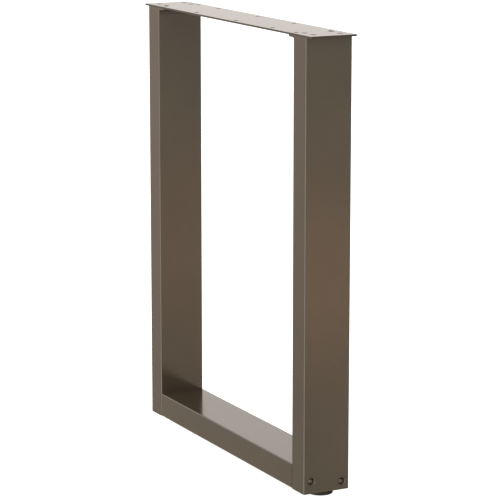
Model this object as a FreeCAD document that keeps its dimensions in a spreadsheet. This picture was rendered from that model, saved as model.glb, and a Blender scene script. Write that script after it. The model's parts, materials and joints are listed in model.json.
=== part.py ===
import FreeCAD
import Part
import math
import os
import Sketcher

# U-shaped table leg of rectangular steel tube: two posts, a bottom rail screwed between them,
# a drilled plate across the top that carries the table top, and a levelling foot under each post.
# Millimetres, +Z up. The origin is on the floor, midway between the posts and midway in their depth.
# X runs along the span of the U, and -Y is the front.

# Driving sizes: name, value, meaning
DRIVING_SIZES = [
    ("span", 560.0, "outer face to outer face of the two posts"),
    ("tube_depth", 80.0, "long side of the tube section, front to back"),
    ("tube_width", 40.0, "short side of the tube section"),
    ("tube_wall", 1.5, "tube wall"),
    ("tube_bend", 0.5, "inner corner radius of the tube"),
    ("post_length", 708.0, "cut length of a post"),
    ("weld_gap", 0.1, "root gap around a piece welded into or onto a tube"),
    ("head_thick", 3.0, "head plate welded on a post"),
    ("head_ledge", 16.0, "reach of the head plate past the inner face of the post"),
    ("weld_leg", 8.0, "hollow fillet weld under the ledge of the head plate"),
    ("plate_thick", 3.0, "top plate"),
    ("plate_reach", 15.0, "overhang of the top plate past a post"),
    ("plate_corner", 2.0, "corner radius of the top plate"),
    ("table_hole", 7.0, "hole in the top plate for a table-top screw"),
    ("table_hole_edge_break", 0.5, "broken edge round the mouth of that hole"),
    ("table_hole_edge", 10.0, "row of table-top holes from the long edge of the plate"),
    ("table_hole_setback", 9.0, "outermost table-top holes from the inner face of a post"),
    ("table_pair_pitch", 134.0, "from one slanting pair of table-top holes to the next"),
    ("table_pair_lean", 42.0, "offset along the plate between the two holes of a pair"),
    ("table_pair_shift", 9.0, "offset of the middle pair from the middle of the plate"),
    ("head_screw", 5.0, "thread of a countersunk screw through the top plate"),
    ("head_screw_long", 8.0, "overall length of that screw"),
    ("head_screw_head", 9.8, "head diameter of that screw"),
    ("head_screw_inset", 0.2, "top of its head below the face of the plate"),
    ("head_screw_hole", 5.5, "clearance hole for it in the top plate"),
    ("head_screw_wall_gap", 0.5, "inner pair of these screws from the inside of the post's wall"),
    ("head_screw_outer", 8.0, "outer pair of these screws from the outer face of the post"),
    ("head_screw_edge", 17.0, "these screws from the long edge of the plate"),
    ("thread_gap", 0.1, "clearance on diameter of a plain shank in a tapped hole"),
    ("rail_screw", 5.0, "thread of a screw that holds the rail"),
    ("rail_screw_long", 45.0, "length of that screw under its head"),
    ("rail_screw_head", 9.5, "diameter of its button head"),
    ("rail_screw_rise", 2.75, "height of its button head"),
    ("rail_screw_rim", 0.7, "straight rim of its button head"),
    ("rail_screw_crown", 4.6, "flat on top of its button head"),
    ("rail_screw_socket", 3.0, "hexagon socket of that screw, across flats"),
    ("rail_screw_pocket", 1.6, "depth of its hexagon socket"),
    ("rail_screw_hole", 5.5, "clearance hole for it"),
    ("rail_screw_inset_y", 13.0, "these screws from the front and back faces of the post"),
    ("rail_screw_front_height", 19.5, "front screw above the lower end of the post"),
    ("rail_screw_back_height", 13.0, "back screw above the lower end of the post"),
    ("bush_outside", 18.0, "spacer bush round a rail screw"),
    ("bush_mouth", 14.0, "wide end of the conical mouth of the bush"),
    ("bush_cone", 1.1, "depth of the conical mouth"),
    ("bush_bore", 10.2, "counterbore below it, round the head of the screw"),
    ("bush_seat", 4.0, "depth of the seat in the counterbore"),
    ("end_plate_thick", 8.0, "tapped plate in each end of the rail"),
    ("sole_thick", 4.0, "plate that closes the lower end of a post"),
    ("stem", 10.0, "thread of a levelling foot"),
    ("stem_long", 36.0, "length of the threaded stem above its head"),
    ("stem_tip", 1.0, "chamfer at the top of the stem"),
    ("stem_head", 16.0, "hexagon head of the stem, across flats"),
    ("stem_head_thick", 2.6, "thickness of that head"),
    ("running_gap", 0.3, "clearance between a levelling foot and what stays still"),
    ("nut_flats", 17.0, "weld nut for the foot, across flats"),
    ("nut_thick", 8.0, "height of the weld nut"),
    ("foot_drop", 6.0, "lower end of the post above the floor, foot screwed right in"),
    ("pad_outside", 40.0, "diameter of the foot pad"),
    ("pad_shoulder", 0.8, "bevelled upper edge of the pad"),
    ("pad_bevel", 0.6, "bevelled lower edge of the pad"),
    ("pad_dish", 26.0, "diameter of the hollow under the pad"),
    ("pad_dish_deep", 0.8, "depth of that hollow"),
]

SHEET = "sizes"
FULL_TURN = 360.0
COUNTERSINK_ANGLE = 90.0
HEXAGON_SIDES = 6
SIDES = {"left": 180.0, "right": 0.0}


class Size:
    """A length: its formula on the sheet, and its value, so that a sketch starts near its solved form."""

    def __init__(self, formula, value):
        self.formula = formula
        self.value = value

    def joined(self, sign, other, value):
        right = other.formula if isinstance(other, Size) else repr(other)
        return Size(f"({self.formula} {sign} {right})", value)

    def __add__(self, other):
        return self.joined("+", other, self.value + amount(other))

    def __sub__(self, other):
        return self.joined("-", other, self.value - amount(other))

    def __mul__(self, other):
        return self.joined("*", other, self.value * amount(other))

    def __truediv__(self, other):
        return self.joined("/", other, self.value / amount(other))

    def __neg__(self):
        return self * -1


def amount(number):
    return number.value if isinstance(number, Size) else number


def make_sheet(doc):
    """Writes the driving sizes to the sheet and returns them by name."""
    sheet = doc.addObject("Spreadsheet::Sheet", SHEET)
    sizes = {}
    for row, (name, value, meaning) in enumerate(DRIVING_SIZES, start=1):
        sheet.set(f"A{row}", meaning)
        sheet.set(f"B{row}", str(value))
        sheet.setAlias(f"B{row}", name)
        sizes[name] = Size(f"{SHEET}.{name}", value)
    doc.recompute()
    return sizes


def bind(thing, path, size):
    thing.setExpression(path, size.formula)


# Sketch helpers

def new_body(doc, label):
    body = doc.addObject("PartDesign::Body", label)
    body.Label = label
    body.AllowCompound = True
    return body


def new_sketch(body, name, plane_role, offset):
    """A sketch on one of the body's own origin planes, moved by offset in the plane's own axes."""
    plane = next(item for item in body.Origin.OriginFeatures if item.Role == plane_role)
    sketch = body.newObject("Sketcher::SketchObject", f"{body.Name}_{name}")
    sketch.AttachmentSupport = (plane, [""])
    sketch.MapMode = "FlatFace"
    for axis, size in offset.items():
        bind(sketch, f"AttachmentOffset.Base.{axis}", size)
    return sketch


def dimension(sketch, kind, size, *where):
    """Adds a constraint of that kind, with its value tied to the sheet."""
    index = sketch.addConstraint(Sketcher.Constraint(kind, *where, size.value))
    name = f"d{index}"
    sketch.renameConstraint(index, name)
    bind(sketch, f"Constraints.{name}", size)


def place_point(sketch, geometry, point, across, up):
    dimension(sketch, "DistanceX", across, -1, 1, geometry, point)
    dimension(sketch, "DistanceY", up, -1, 1, geometry, point)


def add_circle(sketch, across, up, diameter):
    centre = FreeCAD.Vector(across.value, up.value, 0)
    circle = Part.Circle(centre, FreeCAD.Vector(0, 0, 1), diameter.value / 2)
    geometry = sketch.addGeometry(circle, False)
    place_point(sketch, geometry, 3, across, up)
    dimension(sketch, "Diameter", diameter, geometry)


def add_outline(sketch, corners, arcs=None):
    """A closed outline through corners. arcs gives the radius of each rounded stretch by the number of the
    corner that it starts from: positive turns left along it, negative turns right."""
    arcs = arcs or {}
    points = [FreeCAD.Vector(across.value, up.value, 0) for across, up in corners]
    first = sketch.GeometryCount
    ends = []
    for number, start in enumerate(points):
        finish = points[(number + 1) % len(points)]
        if number in arcs:
            turn, radius = arcs[number]
            geometry = sketch.addGeometry(rounded_stretch(start, finish, turn * radius.value), False)
            dimension(sketch, "Radius", radius, geometry)
            ends.append((1, 2) if turn > 0 else (2, 1))
        else:
            sketch.addGeometry(Part.LineSegment(start, finish), False)
            ends.append((1, 2))
    for number, (across, up) in enumerate(corners):
        before = number - 1 if number else len(corners) - 1
        sketch.addConstraint(Sketcher.Constraint(
            "Coincident", first + before, ends[before][1], first + number, ends[number][0]))
        place_point(sketch, first + number, ends[number][0], across, up)


def rounded_stretch(start, finish, radius):
    """The shorter arc from start to finish: a positive radius turns left, and a negative one right."""
    chord = finish - start
    middle = (start + finish) / 2
    height = math.sqrt(radius ** 2 - (chord.Length / 2) ** 2)
    left = FreeCAD.Vector(-chord.y, chord.x, 0) / chord.Length
    centre = middle + left * (height if radius > 0 else -height)
    circle = Part.Circle(centre, FreeCAD.Vector(0, 0, 1), abs(radius))
    low, high = (start, finish) if radius > 0 else (finish, start)
    begin = math.atan2(low.y - centre.y, low.x - centre.x)
    end = math.atan2(high.y - centre.y, high.x - centre.x)
    if end < begin:
        end += 2 * math.pi
    return Part.ArcOfCircle(circle, begin, end)


def add_rounded_rectangle(sketch, across, up, radius, shift=None):
    """A rectangle with rounded corners about the sketch's origin, or moved along it by shift."""
    middle = shift or across * 0
    left = middle - across / 2
    right = middle + across / 2
    low = up / -2
    high = up / 2
    corners = [
        (left + radius, low), (right - radius, low), (right, low + radius), (right, high - radius),
        (right - radius, high), (left + radius, high), (left, high - radius), (left, low + radius),
    ]
    quarter = (1, radius)
    add_outline(sketch, corners, {1: quarter, 3: quarter, 5: quarter, 7: quarter})


def add_hexagon(sketch, flats, across, up):
    """A hexagon with two corners straight above and below its centre."""
    corners = []
    for number in range(HEXAGON_SIDES):
        angle = math.pi / 2 + number * 2 * math.pi / HEXAGON_SIDES
        reach = flats / (2 * math.cos(math.pi / HEXAGON_SIDES))
        corners.append((across + reach * round(math.cos(angle), 9), up + reach * round(math.sin(angle), 9)))
    add_outline(sketch, corners)


# Feature helpers

def pad(body, sketch, length):
    feature = body.newObject("PartDesign::Pad", f"{sketch.Name}_pad")
    feature.Profile = sketch
    bind(feature, "Length", length)
    return feature


def pocket(doc, body, sketch, length):
    """Cuts the sketch's outlines into the body, away from the side that the sketch faces."""
    doc.recompute()
    before = body.Shape.Volume
    feature = body.newObject("PartDesign::Pocket", f"{sketch.Name}_pocket")
    feature.Profile = sketch
    bind(feature, "Length", length)
    doc.recompute()
    if not body.Shape.Volume < before:
        raise ValueError(f"{feature.Name} cuts nothing")


def revolve(body, sketch, axis):
    feature = body.newObject("PartDesign::Revolution", f"{sketch.Name}_turn")
    feature.Profile = sketch
    feature.ReferenceAxis = (sketch, [axis])
    feature.Angle = FULL_TURN


class Leg:
    """Builds every sub-part. A piece of a post is drawn for the right-hand post, about the post's own axis:
    x points out of the U, and the left-hand piece is the same one turned half round."""

    def __init__(self, doc):
        self.doc = doc
        self.size = make_sheet(doc)
        self.parts = []
        size = self.size
        self.zero = size["span"] * 0
        self.outer_corner = size["tube_bend"] + size["tube_wall"]
        self.inside_depth = size["tube_depth"] - size["tube_wall"] * 2
        self.inside_width = size["tube_width"] - size["tube_wall"] * 2
        self.outer_face = size["tube_width"] / 2
        self.inner_face = -self.outer_face
        self.inner_wall_back = self.inner_face + size["tube_wall"]
        self.post_axis = (size["span"] - size["tube_width"]) / 2
        self.rail_length = size["span"] - size["tube_width"] * 2
        self.post_top = size["foot_drop"] + size["post_length"]
        self.head_top = self.post_top + size["head_thick"]
        self.plate_top = self.head_top + size["plate_thick"]
        self.pad_top = size["foot_drop"] - size["running_gap"]
        self.stem_bore = size["stem"] + size["running_gap"] * 2
        screw_y = size["tube_depth"] / 2 - size["rail_screw_inset_y"]
        self.rail_screw_places = {
            "front": (-screw_y, size["foot_drop"] + size["rail_screw_front_height"]),
            "back": (screw_y, size["foot_drop"] + size["rail_screw_back_height"]),
        }
        head_screw_y = size["tube_depth"] / 2 - size["head_screw_edge"]
        inner_pair = self.inner_wall_back + size["head_screw"] / 2 + size["head_screw_wall_gap"]
        outer_pair = self.outer_face - size["head_screw_outer"]
        self.head_screw_places = [
            (x, y) for x in (inner_pair, outer_pair) for y in (-head_screw_y, head_screw_y)
        ]
        self.table_row = size["tube_depth"] / 2 - size["table_hole_edge"]
        self.end_table_hole = self.inner_face - size["table_hole_setback"]

    def keep(self, body, side=None):
        """Lists a finished sub-part, and stands a post's piece on its own side."""
        if side:
            turn = FreeCAD.Rotation(FreeCAD.Vector(0, 0, 1), SIDES[side])
            body.Placement = FreeCAD.Placement(FreeCAD.Vector(0, 0, 0), turn)
            bind(body, "Placement.Base.x", self.post_axis if side == "right" else -self.post_axis)
        self.parts.append(body)

    def add_tube_section(self, sketch, across, up):
        add_rounded_rectangle(sketch, across, up, self.outer_corner)
        wall = self.size["tube_wall"]
        add_rounded_rectangle(sketch, across - wall * 2, up - wall * 2, self.size["tube_bend"])

    def welded_in(self, inside):
        """The size of a plate that is welded into a tube of that inside size."""
        return inside - self.size["weld_gap"] * 2

    def post(self, side):
        size = self.size
        body = new_body(self.doc, f"{side}_post")
        section = new_sketch(body, "section", "XY_Plane", {"z": size["foot_drop"]})
        self.add_tube_section(section, size["tube_width"], size["tube_depth"])
        pad(body, section, size["post_length"])
        outer_holes = new_sketch(body, "bush_holes", "YZ_Plane", {"z": self.outer_face})
        inner_holes = new_sketch(body, "screw_holes", "YZ_Plane", {"z": self.inner_wall_back})
        for across, up in self.rail_screw_places.values():
            add_circle(outer_holes, across, up, size["bush_outside"])
            add_circle(inner_holes, across, up, size["rail_screw_hole"])
        pocket(self.doc, body, outer_holes, size["tube_wall"])
        pocket(self.doc, body, inner_holes, size["tube_wall"])
        self.keep(body, side)

    def bottom_rail(self):
        size = self.size
        body = new_body(self.doc, "bottom_rail")
        middle = size["foot_drop"] + size["tube_width"] / 2
        section = new_sketch(body, "section", "YZ_Plane", {"y": middle, "z": self.rail_length / -2})
        self.add_tube_section(section, size["tube_depth"], size["tube_width"])
        pad(body, section, self.rail_length)
        self.keep(body)

    def rail_end_plate(self, side):
        """The plate welded into the end of the rail, tapped for the two rail screws."""
        size = self.size
        body = new_body(self.doc, f"{side}_rail_end_plate")
        middle = size["foot_drop"] + size["tube_width"] / 2
        back = self.inner_face - size["end_plate_thick"]
        section = new_sketch(body, "section", "YZ_Plane", {"y": middle, "z": back})
        across = self.welded_in(self.inside_depth)
        up = self.welded_in(self.inside_width)
        add_rounded_rectangle(section, across, up, size["tube_bend"])
        for hole_across, height in self.rail_screw_places.values():
            add_circle(section, hole_across, height - middle, size["rail_screw"] + size["thread_gap"])
        pad(body, section, size["end_plate_thick"])
        self.keep(body, side)

    def rail_bushes(self, side):
        """The two spacer bushes that keep the rail screws from crushing the post."""
        size = self.size
        body = new_body(self.doc, f"{side}_rail_bushes")
        inside = size["rail_screw_hole"] / 2
        outside = size["bush_outside"] / 2 - size["weld_gap"]
        bore = size["bush_bore"] / 2
        cone = self.outer_face - size["bush_cone"]
        seat = self.outer_face - size["bush_seat"]
        profile = [
            (self.inner_wall_back, inside), (seat, inside), (seat, bore), (cone, bore),
            (self.outer_face, size["bush_mouth"] / 2), (self.outer_face, outside),
            (self.inner_wall_back, outside),
        ]
        for name, (across, up) in self.rail_screw_places.items():
            sketch = new_sketch(body, name, "XZ_Plane", {"y": up, "z": -across})
            add_outline(sketch, profile)
            revolve(body, sketch, "H_Axis")
        self.keep(body, side)

    def rail_screws(self, side):
        """Two button-head screws with a hexagon socket, through the post into the rail."""
        size = self.size
        body = new_body(self.doc, f"{side}_rail_screws")
        seat = self.outer_face - size["bush_seat"]
        crown = seat + size["rail_screw_rise"]
        rim = seat + size["rail_screw_rim"]
        head = size["rail_screw_head"] / 2
        shank = size["rail_screw"] / 2
        tip = seat - size["rail_screw_long"]
        profile = [
            (tip, self.zero), (crown, self.zero), (crown, size["rail_screw_crown"] / 2),
            (rim, head), (seat, head), (seat, shank), (tip, shank),
        ]
        for name, (across, up) in self.rail_screw_places.items():
            sketch = new_sketch(body, name, "XZ_Plane", {"y": up, "z": -across})
            add_outline(sketch, profile)
            revolve(body, sketch, "H_Axis")
        sockets = new_sketch(body, "sockets", "YZ_Plane", {"z": crown})
        for across, up in self.rail_screw_places.values():
            add_hexagon(sockets, size["rail_screw_socket"], across, up)
        pocket(self.doc, body, sockets, size["rail_screw_pocket"])
        self.keep(body, side)

    def post_head(self, side):
        """The head plate of a post, with the fillet weld under its inner ledge."""
        size = self.size
        body = new_body(self.doc, f"{side}_post_head")
        outline = new_sketch(body, "outline", "XY_Plane", {"z": self.post_top})
        across = size["tube_width"] + size["head_ledge"]
        shift = size["head_ledge"] / -2
        add_rounded_rectangle(outline, across, size["tube_depth"], self.outer_corner, shift)
        for x, y in self.head_screw_places:
            add_circle(outline, x, y, size["head_screw"] + size["thread_gap"])
        pad(body, outline, size["head_thick"])
        weld_half = size["tube_depth"] / 2 - self.outer_corner
        weld = new_sketch(body, "weld", "XZ_Plane", {"z": -weld_half})
        leg = size["weld_leg"]
        corners = [
            (self.inner_face, self.post_top),
            (self.inner_face - leg, self.post_top),
            (self.inner_face, self.post_top - leg),
        ]
        add_outline(weld, corners, {1: (-1, leg)})
        pad(body, weld, weld_half * 2)
        drilled = new_sketch(body, "table_holes", "XY_Plane", {"z": self.head_top})
        for y in (-self.table_row, self.table_row):
            add_circle(drilled, self.end_table_hole, y, size["table_hole"])
        pocket(self.doc, body, drilled, size["head_thick"] + leg)
        self.keep(body, side)

    def head_screws(self, side):
        """Four countersunk screws that hold the top plate down on the head plate."""
        size = self.size
        body = new_body(self.doc, f"{side}_head_screws")
        top = self.plate_top - size["head_screw_inset"]
        shank = size["head_screw"] / 2
        head = size["head_screw_head"] / 2
        neck = top - (head - shank)
        tip = top - size["head_screw_long"]
        profile = [
            (self.zero, tip), (shank, tip), (shank, neck), (head, top), (self.zero, top),
        ]
        for number, (x, y) in enumerate(self.head_screw_places, start=1):
            sketch = new_sketch(body, f"screw{number}", "XZ_Plane", {"x": x, "z": -y})
            add_outline(sketch, profile)
            revolve(body, sketch, "V_Axis")
        self.keep(body, side)

    def top_plate(self):
        """The drilled plate, with countersunk holes over the posts and plain holes for the table top, whose
        edges are broken."""
        size = self.size
        body = new_body(self.doc, "top_plate")
        outline = new_sketch(body, "outline", "XY_Plane", {"z": self.head_top})
        length = size["span"] + size["plate_reach"] * 2
        add_rounded_rectangle(outline, length, size["tube_depth"], size["plate_corner"])
        pad(body, outline, size["plate_thick"])
        row = self.table_row
        end_hole = self.post_axis + self.end_table_hole
        table_holes = [(x, y) for x in (-end_hole, end_hole) for y in (-row, row)]
        pitch = size["table_pair_pitch"]
        lean = size["table_pair_lean"] / 2
        for middle in (-pitch, size["table_pair_shift"], pitch):
            table_holes += [(middle + lean, -row), (middle - lean, row)]
        broken = size["table_hole"] + size["table_hole_edge_break"] * 2
        self.sunk_holes(body, "table_holes", table_holes, size["table_hole"], broken)
        screw_holes = []
        for x, y in self.head_screw_places:
            screw_holes += [(self.post_axis + x, y), (-self.post_axis - x, y)]
        mouth = size["head_screw_head"] + (size["head_screw_inset"] + size["thread_gap"]) * 2
        self.sunk_holes(body, "screw_holes", screw_holes, size["head_screw_hole"], mouth)
        self.keep(body)

    def sunk_holes(self, body, name, centres, bore, mouth):
        """Holes through the top plate, each opened out to a cone at its upper end."""
        sketch = new_sketch(body, name, "XY_Plane", {"z": self.plate_top})
        for x, y in centres:
            add_circle(sketch, x, y, bore)
        self.doc.recompute()
        hole = body.newObject("PartDesign::Hole", f"{sketch.Name}_sunk")
        hole.Profile = sketch
        self.doc.recompute()
        hole.DepthType = "ThroughAll"
        hole.HoleCutType = "Countersink"
        hole.HoleCutCustomValues = True
        hole.HoleCutCountersinkAngle = COUNTERSINK_ANGLE
        bind(hole, "Diameter", bore)
        bind(hole, "HoleCutDiameter", mouth)

    def post_sole(self, side):
        """The plate welded into the lower end of a post, drilled for the stem of the foot."""
        size = self.size
        body = new_body(self.doc, f"{side}_post_sole")
        outline = new_sketch(body, "outline", "XY_Plane", {"z": size["foot_drop"]})
        across = self.welded_in(self.inside_width)
        up = self.welded_in(self.inside_depth)
        add_rounded_rectangle(outline, across, up, size["tube_bend"])
        add_circle(outline, self.zero, self.zero, self.stem_bore)
        pad(body, outline, size["sole_thick"])
        self.keep(body, side)

    def foot_nut(self, side):
        """The nut welded on the sole plate, in which the foot turns."""
        size = self.size
        body = new_body(self.doc, f"{side}_foot_nut")
        outline = new_sketch(body, "outline", "XY_Plane", {"z": size["foot_drop"] + size["sole_thick"]})
        add_hexagon(outline, size["nut_flats"], self.zero, self.zero)
        add_circle(outline, self.zero, self.zero, self.stem_bore)
        pad(body, outline, size["nut_thick"])
        self.keep(body, side)

    def foot_stem(self, side):
        """The threaded stem of a foot, with the hexagon head that its pad grips."""
        size = self.size
        body = new_body(self.doc, f"{side}_foot_stem")
        seat = self.pad_top - size["stem_head_thick"]
        head = new_sketch(body, "head", "XY_Plane", {"z": seat})
        add_hexagon(head, size["stem_head"], self.zero, self.zero)
        pad(body, head, size["stem_head_thick"])
        radius = size["stem"] / 2
        end = self.pad_top + size["stem_long"]
        profile = [
            (self.zero, seat), (radius, seat), (radius, end - size["stem_tip"]),
            (radius - size["stem_tip"], end), (self.zero, end),
        ]
        shaft = new_sketch(body, "shaft", "XZ_Plane", {})
        add_outline(shaft, profile)
        revolve(body, shaft, "V_Axis")
        self.keep(body, side)

    def foot_pad(self, side):
        """The moulded pad of a foot, dished underneath, with a hexagon pocket for the head of the stem."""
        size = self.size
        body = new_body(self.doc, f"{side}_foot_pad")
        outside = size["pad_outside"] / 2
        dish = size["pad_dish"] / 2
        bevel = size["pad_bevel"]
        shoulder = size["pad_shoulder"]
        deep = size["pad_dish_deep"]
        profile = [
            (self.zero, deep), (dish - deep, deep), (dish, self.zero), (outside - bevel, self.zero),
            (outside, bevel), (outside, self.pad_top - shoulder), (outside - shoulder, self.pad_top),
            (self.zero, self.pad_top),
        ]
        sketch = new_sketch(body, "profile", "XZ_Plane", {})
        add_outline(sketch, profile)
        revolve(body, sketch, "V_Axis")
        grip = new_sketch(body, "grip", "XY_Plane", {"z": self.pad_top})
        add_hexagon(grip, size["stem_head"] + size["thread_gap"], self.zero, self.zero)
        pocket(self.doc, body, grip, size["stem_head_thick"])
        self.keep(body, side)

    def build(self):
        self.top_plate()
        self.bottom_rail()
        for side in SIDES:
            self.post(side)
            self.post_head(side)
            self.head_screws(side)
            self.rail_end_plate(side)
            self.rail_bushes(side)
            self.rail_screws(side)
            self.post_sole(side)
            self.foot_nut(side)
            self.foot_stem(side)
            self.foot_pad(side)
        self.doc.recompute()


def check(doc, parts):
    """Stops if anything in the document failed or a sub-part has no sound solid."""
    for item in doc.Objects:
        if "Invalid" in item.State or "Error" in item.State:
            raise ValueError(f"{item.Name} failed: {item.State}")
    for body in parts:
        if body.Shape.isNull() or not body.Shape.isValid() or not body.Shape.Solids:
            raise ValueError(f"{body.Label} has no sound solid")


def write(parts):
    os.makedirs("parts", exist_ok=True)
    for body in parts:
        body.Shape.exportStep(f"parts/{body.Label}.step")


def main():
    doc = FreeCAD.newDocument("u_table_leg")
    leg = Leg(doc)
    leg.build()
    check(doc, leg.parts)
    write(leg.parts)


main()
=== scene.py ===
from collections import namedtuple
import json
import math

import bmesh
import bpy
from mathutils import Matrix, Vector


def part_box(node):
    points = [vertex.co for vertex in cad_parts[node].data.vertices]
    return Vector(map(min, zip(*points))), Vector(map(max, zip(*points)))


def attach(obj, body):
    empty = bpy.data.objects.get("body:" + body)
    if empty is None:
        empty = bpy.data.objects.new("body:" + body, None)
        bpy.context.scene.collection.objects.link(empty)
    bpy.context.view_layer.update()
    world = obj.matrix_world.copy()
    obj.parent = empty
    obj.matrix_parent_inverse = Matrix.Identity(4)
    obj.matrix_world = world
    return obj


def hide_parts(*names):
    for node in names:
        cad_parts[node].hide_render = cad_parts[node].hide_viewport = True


# Looks of a U-shaped table leg: satin bronze-brown coat on steel tube, screws, threaded feet
# and moulded pads. Metres, +Z up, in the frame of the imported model.

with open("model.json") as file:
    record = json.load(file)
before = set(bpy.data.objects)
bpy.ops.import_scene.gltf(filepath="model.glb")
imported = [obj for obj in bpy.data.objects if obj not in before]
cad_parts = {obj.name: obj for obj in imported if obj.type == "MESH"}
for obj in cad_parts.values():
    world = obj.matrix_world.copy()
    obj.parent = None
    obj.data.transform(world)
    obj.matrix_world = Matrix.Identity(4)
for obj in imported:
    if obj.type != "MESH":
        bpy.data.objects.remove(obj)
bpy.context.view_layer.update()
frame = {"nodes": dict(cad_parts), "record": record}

MM = 0.001
QUARTER_TURN = 90.0
SIDES = {"left": -1.0, "right": 1.0}

# Camera, fitted to the straight edges in the photograph, with angles in degrees
IMAGE_PIXELS = 500.0
SENSOR = 36.0
FOCAL_PIXELS = 2369.9
CAMERA_AZIMUTH = 62.823
CAMERA_DOWN = 11.362
CAMERA_DISTANCE = 3.8734
TARGET_SIDEWAYS = 0.008863
TARGET_HEIGHT = 0.34027

# Fineness of the turned pieces
ROUND_STEPS = 72
THREAD_STEPS = ROUND_STEPS // 2
ROWS_PER_TURN = 4
FLANK_STEPS = 10
ROUND_EDGE_STEPS = 8
NEEDLE = 0.3 * MM
SAME_POINT = 0.003 * MM
SMOOTH_BELOW = math.radians(35)

# Hexagons
HEXAGON = 6
FLATS_ACROSS_X = Matrix.Rotation(math.pi / HEXAGON, 4, "Z")

# Threads
M5_THREAD = {"radius": 2.5 * MM, "pitch": 0.8 * MM, "depth": 0.45 * MM}
M10_THREAD = {"radius": 5.0 * MM, "pitch": 1.5 * MM, "depth": 0.85 * MM}

# Button-head screw that holds the rail
BUTTON_HEAD = 4.75 * MM
BUTTON_RISE = 2.75 * MM
BUTTON_RIM = 0.7 * MM
BUTTON_SWELL = 0.42 * MM
BUTTON_CROWN = 0.5 * MM

# Countersunk screw that holds the top plate
COUNTERSUNK_HEAD = 4.9 * MM
COUNTERSUNK_LIP = 0.12 * MM

# Hexagon socket of both kinds of screw
SOCKET_FLATS = 3.0 * MM
SOCKET_DEEP = 1.6 * MM
SOCKET_CONE = 0.4 * MM
SOCKET_LIP = 0.14 * MM
BROKEN_EDGE = 0.15 * MM

# Foot
STEM_EDGE = 0.4 * MM
PAD_DISH = 13.0 * MM
PAD_DISH_DEEP = 0.8 * MM
PAD_TOP_ROUND = 1.6 * MM
PAD_FOOT_ROUND = 1.0 * MM
PAD_GRIP_GAP = 0.05 * MM

# Shading: ends of a colour ramp, roughness of a plain noise, samples of a rounded edge,
# and how level a face is where a chamfer ends and where a flat begins
RAMP_START = 0.3
RAMP_END = 0.7
NOISE_ROUGHNESS = 0.5
EDGE_SAMPLES = 6
CHAMFER_LEVEL = 0.85
FLAT_LEVEL = 0.97

# Smooth satin coat
COAT_DARK = (0.034, 0.0265, 0.0175)
COAT_LIGHT = (0.040, 0.0315, 0.0210)
COAT_ROUGHNESS = (0.13, 0.18)
COAT_IOR = 1.5
COAT_EDGE = 0.30 * MM
COAT_CLOUD = {"scale": 9.0, "detail": 4.0}
COAT_GLOSS = {"scale": 60.0, "detail": 5.0, "roughness": 0.6}
COAT_PEEL = {"scale": 420.0, "detail": 3.0}
COAT_PEEL_BUMP = {"distance": 0.03 * MM, "strength": 0.35}
COAT_GRAIN = {"scale": 2600.0, "detail": 2.0}
COAT_GRAIN_BUMP = {"distance": 0.006 * MM, "strength": 0.4}

# Coat on cut edges and on the walls of holes: rougher and ridged, and painted darker as shade on
# these upright faces
SHADED_CUT_DARK = (0.012, 0.0095, 0.0065)
SHADED_CUT_LIGHT = (0.019, 0.015, 0.010)
CUT_ROUGHNESS = (0.32, 0.48)
CUT_STRETCH = (1.0, 1.0, 0.08)
CUT_RIDGES = {"scale": 1600.0, "detail": 2.0}
CUT_BUMP = {"distance": 0.05 * MM, "strength": 0.6}

# Dark plating of the button-head screws
PLATED_DARK = (0.084, 0.074, 0.062)
PLATED_LIGHT = (0.108, 0.096, 0.081)
PLATED_ROUGHNESS = (0.14, 0.22)
PLATED_CLOUD = {"scale": 180.0, "detail": 4.0}
PLATED_GLOSS = {"scale": 700.0, "detail": 3.0}
PLATED_BUMP = {"distance": 0.01 * MM, "strength": 0.5}

# Phosphate coat of the countersunk screws
PHOSPHATE_DARK = (0.020, 0.0175, 0.015)
PHOSPHATE_LIGHT = (0.034, 0.030, 0.026)
PHOSPHATE_ROUGHNESS = (0.48, 0.62)
PHOSPHATE_CLOUD = {"scale": 240.0, "detail": 4.0}
PHOSPHATE_GRAIN = {"scale": 2800.0, "detail": 3.0}
PHOSPHATE_BUMP = {"distance": 0.02 * MM, "strength": 0.6}

# Zinc plate of the stems and nuts
ZINC_DARK = (0.46, 0.46, 0.45)
ZINC_LIGHT = (0.62, 0.62, 0.6)
ZINC_ROUGHNESS = (0.26, 0.42)
ZINC_CLOUD = {"scale": 120.0, "detail": 4.0}
ZINC_MARKS = {"scale": 1900.0, "detail": 2.0}
ZINC_BUMP = {"distance": 0.012 * MM, "strength": 0.5}

# Black plastic of the pads
PLASTIC_DARK = (0.010, 0.0082, 0.0062)
PLASTIC_LIGHT = (0.016, 0.0132, 0.0100)
PLASTIC_ROUGHNESS = (0.62, 0.78)
PLASTIC_IOR = 1.45
PLASTIC_SPECULAR = 0.2
PLASTIC_CLOUD = {"scale": 140.0, "detail": 3.0}
PLASTIC_GRAIN = {"scale": 3200.0, "detail": 2.0, "roughness": 0.6}
PLASTIC_BUMP = {"distance": 0.03 * MM, "strength": 0.6}

# Floor
WHITE = (1.0, 1.0, 1.0, 1.0)
FLOOR_HALF = 12.0
FLOOR_COLOUR = (0.40, 0.43, 0.46, 1.0)
FLOOR_ROUGHNESS = 0.9
FLOOR_GLOW = 0.95

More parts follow.
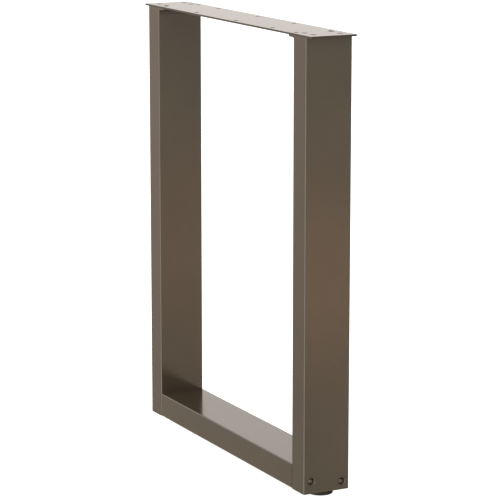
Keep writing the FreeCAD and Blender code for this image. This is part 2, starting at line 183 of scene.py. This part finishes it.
# Soft surround: a pale tent with broad patches, each laid over those before it. A patch has its
# azimuth from the front towards the right, its elevation, and the angles from its middle at which
# it starts and at which it is full, all in degrees, and its colour.
Patch = namedtuple("Patch", "azimuth elevation outer inner colour")
SURROUND = (1.36, 1.25, 1.15)
PATCHES = [
    # Dim rear
    Patch(185.0, -20.0, 58.0, 48.0, (0.62, 0.54, 0.44)),
    # What the right-hand faces of the posts mirror, darker towards the floor and above
    Patch(117.4, -11.5, 38.7, 21.6, (1.29, 1.16, 0.97)),
    Patch(112.0, -19.0, 9.0, 2.0, (0.95, 0.84, 0.65)),
    Patch(117.4, 26.0, 30.0, 18.0, (0.45, 0.38, 0.32)),
    # What the tops of the rail and of the plate mirror
    Patch(-117.4, 20.0, 12.0, 6.0, (1.48, 1.36, 1.26)),
    Patch(-117.4, 1.2, 12.8, 3.6, (1.17, 1.10, 1.05)),
    # What the front faces mirror, darker towards the floor
    Patch(-62.6, -2.9, 30.7, 9.9, (1.16, 0.96, 0.80)),
    Patch(-62.6, -23.2, 17.3, 0.5, (0.78, 0.66, 0.53)),
    # Broad light at the front, dimmer where the mouths of the bushes mirror it and high up
    Patch(25.0, -8.0, 55.0, 42.0, (4.00, 3.83, 3.48)),
    Patch(60.0, -23.0, 15.0, 8.0, (1.00, 0.94, 0.85)),
    Patch(25.0, 62.0, 65.0, 57.0, SURROUND),
    # Small lights high on the right and on the left
    Patch(58.0, 34.0, 14.0, 7.0, (8.00, 7.60, 7.00)),
    Patch(-75.0, 24.0, 18.0, 8.0, (2.70, 2.50, 2.30)),
    # Dim ground
    Patch(0.0, -90.0, 50.0, 35.0, (0.35, 0.32, 0.29)),
    # Warm glow halfway up the right-hand faces of the left post and of the right one
    Patch(115.6, -11.0, 2.2, 0.3, (3.00, 1.80, 1.20)),
    Patch(119.2, -12.2, 2.2, 0.3, (4.80, 2.60, 1.50)),
]


# Mesh helpers

def add_piece(name, mesh_builder, body, material, replaced):
    """A new piece made in a bmesh, riding on a body and standing for a CAD node."""
    mesh = bpy.data.meshes.new(name)
    shape = bmesh.new()
    mesh_builder(shape)
    bmesh.ops.recalc_face_normals(shape, faces=shape.faces)
    shape.to_mesh(mesh)
    shape.free()
    piece = bpy.data.objects.new(name, mesh)
    bpy.context.scene.collection.objects.link(piece)
    mesh.materials.append(material)
    smooth_by_angle(mesh)
    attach(piece, body)
    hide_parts(replaced)


def smooth_by_angle(mesh):
    mesh.shade_smooth()
    mesh.set_sharp_from_angle(angle=SMOOTH_BELOW)


def corner_reach(flats):
    """From the middle of a hexagon to its corners, from its size across flats."""
    return flats / 2 / math.cos(math.pi / HEXAGON)


def ring(shape, place, radius, height, corners=0):
    """A loop of vertices about the axis of place. With corners it is a polygon of as many sides."""
    loop = []
    for step in range(ROUND_STEPS):
        angle = 2 * math.pi * step / ROUND_STEPS
        reach = radius
        if corners:
            sector = 2 * math.pi / corners
            offset = angle % sector - sector / 2
            reach = radius * math.cos(sector / 2) / math.cos(offset)
        across = Vector((math.cos(angle), math.sin(angle), 0.0)) * reach
        loop.append(shape.verts.new(place @ (across + Vector((0.0, 0.0, height)))))
    return loop


def wall(shape, first, second):
    """Faces from one loop to the next, which has as many vertices, or twice or half as many."""
    coarse, fine = sorted((first, second), key=len)
    count = len(coarse)
    per_step = len(fine) // count
    for step in range(count):
        after = (step + 1) % count
        fan = [fine[(step * per_step + extra) % len(fine)] for extra in range(per_step + 1)]
        shape.faces.new((coarse[step], coarse[after], *reversed(fan)))


def close(shape, loops):
    """One closed skin: walls from each loop to the next, and a face over both ends."""
    for first, second in zip(loops, loops[1:]):
        wall(shape, first, second)
    shape.faces.new(loops[0])
    shape.faces.new(loops[-1])


def turned(shape, place, profile):
    """Loops of a turned form, from entries (radius, height) or (radius, height, corners)."""
    return [ring(shape, place, *entry) for entry in profile]


def arc(centre, radius, start, end):
    """Points (radius, height) on a circular arc of a profile, with angles in degrees."""
    points = []
    for step in range(ROUND_EDGE_STEPS + 1):
        angle = math.radians(start + (end - start) * step / ROUND_EDGE_STEPS)
        points.append((centre[0] + radius * math.cos(angle), centre[1] + radius * math.sin(angle)))
    return points


def thread(shape, place, bottom, top, radius, pitch, depth):
    """Loops of a rod with a helical ridge between two heights, tapered in at both ends."""
    rows = round((top - bottom) / pitch * ROWS_PER_TURN)
    root = radius - depth
    loops = []
    for row in range(rows + 1):
        height = bottom + (top - bottom) * row / rows
        loop = []
        for step in range(THREAD_STEPS):
            angle = 2 * math.pi * step / THREAD_STEPS
            phase = (height / pitch - step / THREAD_STEPS) % 1.0
            ridge = 1 - abs(2 * phase - 1)
            reach = min(root + depth * ridge, root + (top - height), root + (height - bottom))
            point = Vector((reach * math.cos(angle), reach * math.sin(angle), height))
            loop.append(shape.verts.new(place @ point))
        loops.append(loop)
    return loops


def socket(top):
    """The profile of a hexagon socket, from the flat round it down to its bottom."""
    corner = corner_reach(SOCKET_FLATS)
    return [
        (corner + SOCKET_LIP, top, HEXAGON),
        (corner, top - BROKEN_EDGE, HEXAGON),
        (corner, top - SOCKET_DEEP, HEXAGON),
        (NEEDLE, top - SOCKET_DEEP - SOCKET_CONE),
    ]


def node_islands(node):
    """The boxes of a node's separate solids, each as (lowest corner, highest corner)."""
    shape = bmesh.new()
    shape.from_mesh(frame["nodes"][node].data)
    bmesh.ops.remove_doubles(shape, verts=shape.verts, dist=SAME_POINT)
    boxes = []
    unseen = set(shape.verts)
    while unseen:
        points = []
        waiting = [unseen.pop()]
        while waiting:
            vertex = waiting.pop()
            points.append(vertex.co.copy())
            for link in vertex.link_edges:
                other = link.other_vert(vertex)
                if other in unseen:
                    unseen.remove(other)
                    waiting.append(other)
        boxes.append(tuple(Vector(map(end, zip(*points))) for end in (min, max)))
    shape.free()
    return sorted(boxes, key=lambda box: tuple(box[0]))


# Material helpers

def new_material(name):
    """A new material, its node tree and its shader."""
    material = bpy.data.materials.new(name)
    material.use_nodes = True
    tree = material.node_tree
    return material, tree, tree.nodes["Principled BSDF"]


def connect(tree, shader, colour, roughness, normal):
    tree.links.new(colour, shader.inputs["Base Color"])
    tree.links.new(roughness, shader.inputs["Roughness"])
    tree.links.new(normal, shader.inputs["Normal"])


def place_coordinates(tree):
    """Coordinates in metres that stay with the piece."""
    return tree.nodes.new("ShaderNodeTexCoord").outputs["Object"]


def stretched(tree, coordinates, scale):
    """The same coordinates, scaled apart along each axis."""
    node = tree.nodes.new("ShaderNodeMapping")
    node.inputs["Scale"].default_value = scale
    tree.links.new(coordinates, node.inputs["Vector"])
    return node.outputs["Vector"]


def noise(tree, coordinates, scale, detail, roughness=NOISE_ROUGHNESS):
    texture = tree.nodes.new("ShaderNodeTexNoise")
    texture.inputs["Scale"].default_value = scale
    texture.inputs["Detail"].default_value = detail
    texture.inputs["Roughness"].default_value = roughness
    tree.links.new(coordinates, texture.inputs["Vector"])
    return texture.outputs["Fac"]


def ramp(tree, factor, low, high):
    """A colour ramp between two colours over the middle of the factor's range."""
    node = tree.nodes.new("ShaderNodeValToRGB")
    ends = zip(node.color_ramp.elements, (RAMP_START, RAMP_END), (low, high))
    for element, position, colour in ends:
        element.position = position
        element.color = (*colour, 1.0)
    tree.links.new(factor, node.inputs["Fac"])
    return node.outputs["Color"]


def spread(tree, factor, low, high):
    """The factor, brought from 0 and 1 to two other values."""
    node = tree.nodes.new("ShaderNodeMapRange")
    node.inputs["To Min"].default_value = low
    node.inputs["To Max"].default_value = high
    tree.links.new(factor, node.inputs["Value"])
    return node.outputs["Result"]


def mixed(tree, factor, first, second, data_type):
    """first where the factor is 0, second where it is 1."""
    node = tree.nodes.new("ShaderNodeMix")
    node.data_type = data_type
    inputs = [plug for plug in node.inputs if plug.enabled]
    for value, end in zip((factor, first, second), inputs):
        tree.links.new(value, end)
    return next(plug for plug in node.outputs if plug.enabled)


def level_faces(tree):
    """1 on faces that look straight up or down, 0 on upright ones and on chamfers."""
    split = tree.nodes.new("ShaderNodeSeparateXYZ")
    normal = tree.nodes.new("ShaderNodeTexCoord").outputs["Normal"]
    tree.links.new(normal, split.inputs["Vector"])
    size = tree.nodes.new("ShaderNodeMath")
    size.operation = "ABSOLUTE"
    tree.links.new(split.outputs["Z"], size.inputs[0])
    edge = tree.nodes.new("ShaderNodeMapRange")
    edge.inputs["From Min"].default_value = CHAMFER_LEVEL
    edge.inputs["From Max"].default_value = FLAT_LEVEL
    tree.links.new(size.outputs["Value"], edge.inputs["Value"])
    return edge.outputs["Result"]


def bump(tree, height, distance, strength, normal=None):
    node = tree.nodes.new("ShaderNodeBump")
    node.inputs["Distance"].default_value = distance
    node.inputs["Strength"].default_value = strength
    tree.links.new(height, node.inputs["Height"])
    if normal:
        tree.links.new(normal, node.inputs["Normal"])
    return node.outputs["Normal"]


def rounded_edges(tree, radius):
    node = tree.nodes.new("ShaderNodeBevel")
    node.samples = EDGE_SAMPLES
    node.inputs["Radius"].default_value = radius
    return node.outputs["Normal"]


# Materials

def coat_surface(tree, where):
    """Colour, roughness and normal of the coat: faint clouds, uneven gloss, fine orange peel."""
    cloud = noise(tree, where, **COAT_CLOUD)
    colour = ramp(tree, cloud, COAT_DARK, COAT_LIGHT)
    gloss = noise(tree, where, **COAT_GLOSS)
    roughness = spread(tree, gloss, *COAT_ROUGHNESS)
    peel = noise(tree, where, **COAT_PEEL)
    grain = noise(tree, where, **COAT_GRAIN)
    soft = bump(tree, peel, **COAT_PEEL_BUMP, normal=rounded_edges(tree, COAT_EDGE))
    return colour, roughness, bump(tree, grain, **COAT_GRAIN_BUMP, normal=soft)


def coat_material():
    material, tree, shader = new_material("bronze_coat")
    connect(tree, shader, *coat_surface(tree, place_coordinates(tree)))
    shader.inputs["IOR"].default_value = COAT_IOR
    return material


def cut_plate_material():
    """The coat on a cut plate: its edges and hole walls are rougher and faintly ridged, and their
    colour is darker as painted shade.
    """
    material, tree, shader = new_material("coated_cut_plate_painted_shade")
    where = place_coordinates(tree)
    level = level_faces(tree)
    colour, roughness, normal = coat_surface(tree, where)
    ridges = noise(tree, stretched(tree, where, CUT_STRETCH), **CUT_RIDGES)
    # Painted shade: upright faces, chamfers and hole walls take a darker colour than the level
    # faces
    cut_shade_colour = ramp(tree, ridges, SHADED_CUT_DARK, SHADED_CUT_LIGHT)
    cut_roughness = spread(tree, ridges, *CUT_ROUGHNESS)
    cut_normal = bump(tree, ridges, **CUT_BUMP)
    connect(
        tree,
        shader,
        mixed(tree, level, cut_shade_colour, colour, "RGBA"),
        mixed(tree, level, cut_roughness, roughness, "FLOAT"),
        mixed(tree, level, cut_normal, normal, "VECTOR"),
    )
    shader.inputs["IOR"].default_value = COAT_IOR
    return material


def fastener_material():
    """Dark-plated screw: a shade glossier than the coat, so that its dome mirrors the lights."""
    material, tree, shader = new_material("coated_fastener")
    where = place_coordinates(tree)
    colour = ramp(tree, noise(tree, where, **PLATED_CLOUD), PLATED_DARK, PLATED_LIGHT)
    gloss = noise(tree, where, **PLATED_GLOSS)
    roughness = spread(tree, gloss, *PLATED_ROUGHNESS)
    connect(tree, shader, colour, roughness, bump(tree, gloss, **PLATED_BUMP))
    shader.inputs["Metallic"].default_value = 1.0
    return material


def matt_fastener_material():
    """Phosphated countersunk screw: dark and matt, with a fine crystalline grain."""
    material, tree, shader = new_material("matt_fastener")
    where = place_coordinates(tree)
    colour = ramp(tree, noise(tree, where, **PHOSPHATE_CLOUD), PHOSPHATE_DARK, PHOSPHATE_LIGHT)
    grain = noise(tree, where, **PHOSPHATE_GRAIN)
    roughness = spread(tree, grain, *PHOSPHATE_ROUGHNESS)
    connect(tree, shader, colour, roughness, bump(tree, grain, **PHOSPHATE_BUMP))
    return material


def zinc_material():
    """Zinc-plated steel: bright grey metal with cloudy plating and fine turning marks."""
    material, tree, shader = new_material("zinc_plate")
    where = place_coordinates(tree)
    cloud = noise(tree, where, **ZINC_CLOUD)
    colour = ramp(tree, cloud, ZINC_DARK, ZINC_LIGHT)
    roughness = spread(tree, cloud, *ZINC_ROUGHNESS)
    marks = noise(tree, where, **ZINC_MARKS)
    connect(tree, shader, colour, roughness, bump(tree, marks, **ZINC_BUMP))
    shader.inputs["Metallic"].default_value = 1.0
    return material


def pad_material():
    """Black moulded plastic with a fine spark-eroded grain."""
    material, tree, shader = new_material("moulded_pad")
    where = place_coordinates(tree)
    cloud = noise(tree, where, **PLASTIC_CLOUD)
    colour = ramp(tree, cloud, PLASTIC_DARK, PLASTIC_LIGHT)
    roughness = spread(tree, cloud, *PLASTIC_ROUGHNESS)
    grain = noise(tree, where, **PLASTIC_GRAIN)
    connect(tree, shader, colour, roughness, bump(tree, grain, **PLASTIC_BUMP))
    shader.inputs["IOR"].default_value = PLASTIC_IOR
    shader.inputs["Specular IOR Level"].default_value = PLASTIC_SPECULAR
    return material


COAT = coat_material()
CUT_PLATE = cut_plate_material()
FASTENER = fastener_material()
MATT_FASTENER = matt_fastener_material()
ZINC = zinc_material()
PAD = pad_material()

SLOT_MATERIALS = {"coat": COAT, "fastener": FASTENER, "bare_steel": ZINC, "pad": PAD}
NODE_MATERIALS = {"top_plate": CUT_PLATE}


def dress_cad_nodes():
    """Gives each CAD node its own material, or else that of its slot."""
    for row in frame["record"]["subparts"]:
        mesh = frame["nodes"][row["node"]].data
        slot_material = SLOT_MATERIALS[row["material_slot"]]
        mesh.materials.clear()
        mesh.materials.append(NODE_MATERIALS.get(row["node"], slot_material))
        smooth_by_angle(mesh)


# Pieces

def button_screw(shape, place, length):
    """A button-head screw along its own axis, head uppermost, seat at height 0."""
    crown = corner_reach(SOCKET_FLATS) + BUTTON_CROWN
    slope = Vector((crown - BUTTON_HEAD, BUTTON_RISE - BUTTON_RIM))
    outward = Vector((slope.y, -slope.x)).normalized()
    flank = []
    for step in range(FLANK_STEPS + 1):
        share = step / FLANK_STEPS
        swell = outward * math.sin(math.pi * share) * BUTTON_SWELL
        flank.append(tuple(Vector((BUTTON_HEAD, BUTTON_RIM)) + slope * share + swell))
    seat = [(BUTTON_HEAD - BROKEN_EDGE, 0.0), (BUTTON_HEAD, BROKEN_EDGE)]
    head = turned(shape, place, seat + flank + socket(BUTTON_RISE))
    close(shape, thread(shape, place, -length, 0.0, **M5_THREAD) + head)


def rail_screws(side):
    node = f"{side}_rail_screws"
    outward = SIDES[side]
    boxes = node_islands(node)

    def build(shape):
        for low, high in boxes:
            middle = (low + high) / 2
            tip = low.x if outward > 0 else -high.x
            seat = (high.x if outward > 0 else -low.x) - BUTTON_RISE
            turn = Matrix.Rotation(math.radians(QUARTER_TURN) * outward, 4, "Y")
            place = Matrix.Translation((seat * outward, middle.y, middle.z)) @ turn
            button_screw(shape, place, seat - tip)

    add_piece(f"{side}_button_screws", build, "frame", FASTENER, node)


def countersunk_screw(shape, place, length):
    """A countersunk screw along its own axis, the flat of its head at height 0."""
    shank = M5_THREAD["radius"]
    neck = shank - COUNTERSUNK_HEAD
    cone = [
        (shank, neck),
        (COUNTERSUNK_HEAD - COUNTERSUNK_LIP, -COUNTERSUNK_LIP),
        (COUNTERSUNK_HEAD - COUNTERSUNK_LIP, -COUNTERSUNK_LIP / 2),
        (COUNTERSUNK_HEAD - COUNTERSUNK_LIP * 2, 0.0),
    ]
    head = turned(shape, place, cone + socket(0.0))
    close(shape, thread(shape, place, -length, neck, **M5_THREAD) + head)


def head_screws(side):
    node = f"{side}_head_screws"
    boxes = node_islands(node)

    def build(shape):
        for low, high in boxes:
            middle = (low + high) / 2
            place = Matrix.Translation((middle.x, middle.y, high.z))
            countersunk_screw(shape, place, high.z - low.z)

    add_piece(f"{side}_countersunk_screws", build, "frame", MATT_FASTENER, node)


def foot_stem(side):
    """The threaded stem with its hexagon head."""
    node = f"{side}_foot_stem"
    low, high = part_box(node)
    head_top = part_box(f"{side}_foot_pad")[1].z
    middle = (low + high) / 2
    place = Matrix.Translation((middle.x, middle.y, 0.0)) @ FLATS_ACROSS_X
    corner = corner_reach(high.x - low.x)

    def build(shape):
        head = [
            (corner - STEM_EDGE, low.z, HEXAGON),
            (corner, low.z + STEM_EDGE, HEXAGON),
            (corner, head_top - STEM_EDGE, HEXAGON),
            (corner - STEM_EDGE, head_top, HEXAGON),
        ]
        loops = turned(shape, place, head)
        close(shape, loops + thread(shape, place, head_top, high.z, **M10_THREAD))

    add_piece(f"{side}_threaded_stem", build, f"{side}_foot", ZINC, node)


def foot_pad(side):
    """The moulded pad: rounded edges, a dish underneath, a hexagon pocket for the stem's head."""
    node = f"{side}_foot_pad"
    low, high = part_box(node)
    stem_low, stem_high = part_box(f"{side}_foot_stem")
    middle = (low + high) / 2
    place = Matrix.Translation((middle.x, middle.y, low.z)) @ FLATS_ACROSS_X
    outside = (high.x - low.x) / 2
    tall = high.z - low.z
    seat = stem_low.z - low.z
    grip = corner_reach(stem_high.x - stem_low.x) + PAD_GRIP_GAP

    def build(shape):
        profile = [
            (NEEDLE, PAD_DISH_DEEP),
            (PAD_DISH - PAD_DISH_DEEP, PAD_DISH_DEEP),
            (PAD_DISH, 0.0),
        ]
        foot_centre = (outside - PAD_FOOT_ROUND, PAD_FOOT_ROUND)
        profile += arc(foot_centre, PAD_FOOT_ROUND, -QUARTER_TURN, 0.0)
        top_centre = (outside - PAD_TOP_ROUND, tall - PAD_TOP_ROUND)
        profile += arc(top_centre, PAD_TOP_ROUND, 0.0, QUARTER_TURN)
        profile += [(grip, tall, HEXAGON), (grip, seat, HEXAGON), (NEEDLE, seat)]
        close(shape, turned(shape, place, profile))

    add_piece(f"{side}_moulded_pad", build, f"{side}_foot", PAD, node)


# Stage, light and camera

def add_floor():
    """A white floor, low enough for the feet at their full reach."""
    mesh = bpy.data.meshes.new("floor")
    corners = [(-1, -1, 0), (1, -1, 0), (1, 1, 0), (-1, 1, 0)]
    mesh.from_pydata([Vector(corner) * FLOOR_HALF for corner in corners], [], [(0, 1, 2, 3)])
    floor = bpy.data.objects.new("floor", mesh)
    bpy.context.scene.collection.objects.link(floor)
    material, _, shader = new_material("pale_floor")
    shader.inputs["Base Color"].default_value = FLOOR_COLOUR
    shader.inputs["Roughness"].default_value = FLOOR_ROUGHNESS
    shader.inputs["Emission Color"].default_value = WHITE
    shader.inputs["Emission Strength"].default_value = FLOOR_GLOW
    mesh.materials.append(material)
    joints = frame["record"]["behaviour"]["joints"]
    floor.location.z = -max(joint["range_m"][1] for joint in joints)
    floor.visible_glossy = False
    floor.visible_diffuse = False


def direction(azimuth, elevation):
    """The unit vector towards an azimuth and an elevation in degrees."""
    turn = math.radians(azimuth)
    rise = math.radians(elevation)
    level = math.cos(rise)
    return Vector((math.sin(turn) * level, -math.cos(turn) * level, math.sin(rise)))


def add_world():
    """The surround lights the object. The camera itself sees plain white."""
    world = bpy.data.worlds.new("studio")
    bpy.context.scene.world = world
    world.use_nodes = True
    nodes = world.node_tree.nodes
    links = world.node_tree.links
    looking = nodes.new("ShaderNodeTexCoord").outputs["Generated"]
    colour = None
    for patch in PATCHES:
        facing = nodes.new("ShaderNodeVectorMath")
        facing.operation = "DOT_PRODUCT"
        facing.inputs[1].default_value = direction(patch.azimuth, patch.elevation)
        links.new(looking, facing.inputs[0])
        share = nodes.new("ShaderNodeMapRange")
        share.interpolation_type = "SMOOTHSTEP"
        share.inputs["From Min"].default_value = math.cos(math.radians(patch.outer))
        share.inputs["From Max"].default_value = math.cos(math.radians(patch.inner))
        links.new(facing.outputs["Value"], share.inputs["Value"])
        layer = nodes.new("ShaderNodeMixRGB")
        layer.inputs["Color1"].default_value = (*SURROUND, 1.0)
        layer.inputs["Color2"].default_value = (*patch.colour, 1.0)
        links.new(share.outputs["Result"], layer.inputs["Fac"])
        if colour:
            links.new(colour, layer.inputs["Color1"])
        colour = layer.outputs["Color"]
    light = nodes["Background"]
    links.new(colour, light.inputs["Color"])
    seen = nodes.new("ShaderNodeBackground")
    seen.inputs["Color"].default_value = WHITE
    choose = nodes.new("ShaderNodeMixShader")
    camera_ray = nodes.new("ShaderNodeLightPath").outputs["Is Camera Ray"]
    links.new(camera_ray, choose.inputs["Fac"])
    links.new(light.outputs["Background"], choose.inputs[1])
    links.new(seen.outputs["Background"], choose.inputs[2])
    links.new(choose.outputs["Shader"], nodes["World Output"].inputs["Surface"])


def add_camera():
    """A camera at the photograph's viewing angle."""
    forward = -direction(CAMERA_AZIMUTH, CAMERA_DOWN)
    sideways = direction(CAMERA_AZIMUTH + QUARTER_TURN, 0.0)
    target = sideways * TARGET_SIDEWAYS + Vector((0.0, 0.0, TARGET_HEIGHT))
    data = bpy.data.cameras.new("camera")
    data.sensor_width = SENSOR
    data.lens = FOCAL_PIXELS / IMAGE_PIXELS * SENSOR
    camera = bpy.data.objects.new("camera", data)
    camera.location = target - forward * CAMERA_DISTANCE
    camera.rotation_euler = forward.to_track_quat("-Z", "Y").to_euler()
    bpy.context.scene.collection.objects.link(camera)
    bpy.context.scene.camera = camera


dress_cad_nodes()
for side in SIDES:
    rail_screws(side)
    head_screws(side)
    foot_stem(side)
    foot_pad(side)
add_floor()
add_world()
add_camera()
bpy.context.scene.view_settings.view_transform = "Standard"
